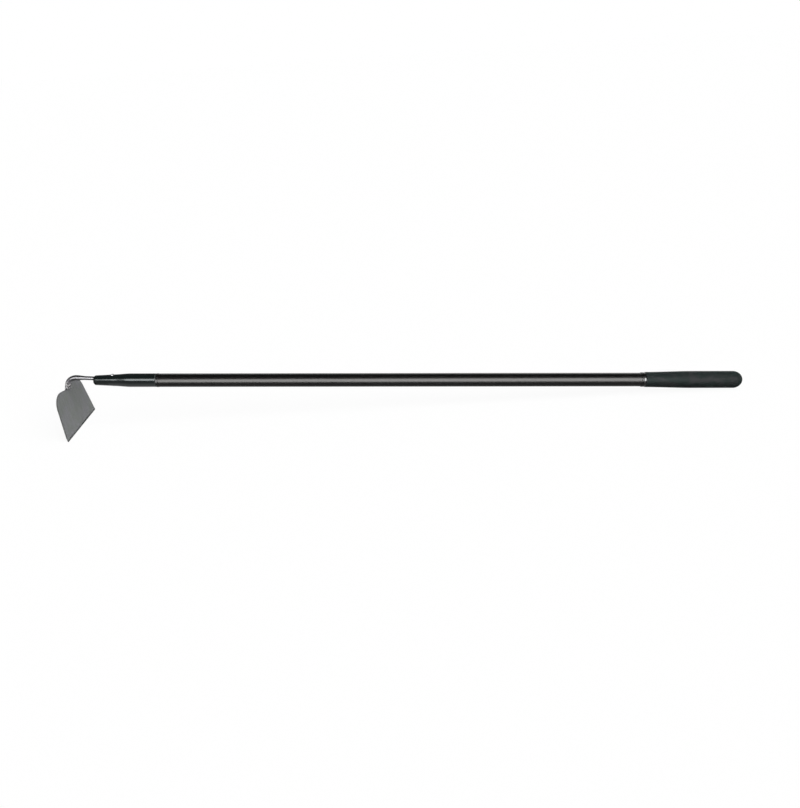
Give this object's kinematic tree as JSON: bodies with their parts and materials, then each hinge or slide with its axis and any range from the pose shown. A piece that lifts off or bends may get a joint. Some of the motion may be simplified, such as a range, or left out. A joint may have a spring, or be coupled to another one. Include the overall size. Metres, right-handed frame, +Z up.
{
  "type": "garden hoe",
  "caption": "Draw hoe: broad flat steel blade welded to a bent rod, riveted plastic nose sleeve, straight hollow shaft and soft round-ended hand grip.",
  "frame": {"origin": "centre of the hoe's box at floor level, as the hoe rests on its cutting edge and on the underside of its hand grip", "axes": "+X along the hoe from the blade to the hand grip, +Z up from the floor, +Y across the blade"},
  "size_m": [1.424, 0.1558, 0.1169],
  "materials": {
    "blade_steel": "matte grey blasted steel",
    "rod_steel": "drawn bright steel rod",
    "weld_metal": "bright rippled weld metal",
    "sleeve_plastic": "satin black moulding",
    "rivet_metal": "bright domed head",
    "ring_plastic": "gloss black",
    "shaft_laminate": "gloss black fibreglass laminate",
    "grip_foam": "matte charcoal closed-cell foam",
    "plug_plastic": "plain black"
  },
  "bodies": {
    "root": {"blade": "blade_steel", "gooseneck": "rod_steel", "weld_front": "weld_metal", "weld_back_left": "weld_metal", "weld_back_right": "weld_metal", "nose_sleeve": "sleeve_plastic", "nose_rivet": "rivet_metal", "joint_ring": "ring_plastic", "handle_tube": "shaft_laminate", "grip_collar": "ring_plastic", "cushion_grip": "grip_foam", "tube_end_plug": "plug_plastic"}
  },
  "joints": []
}
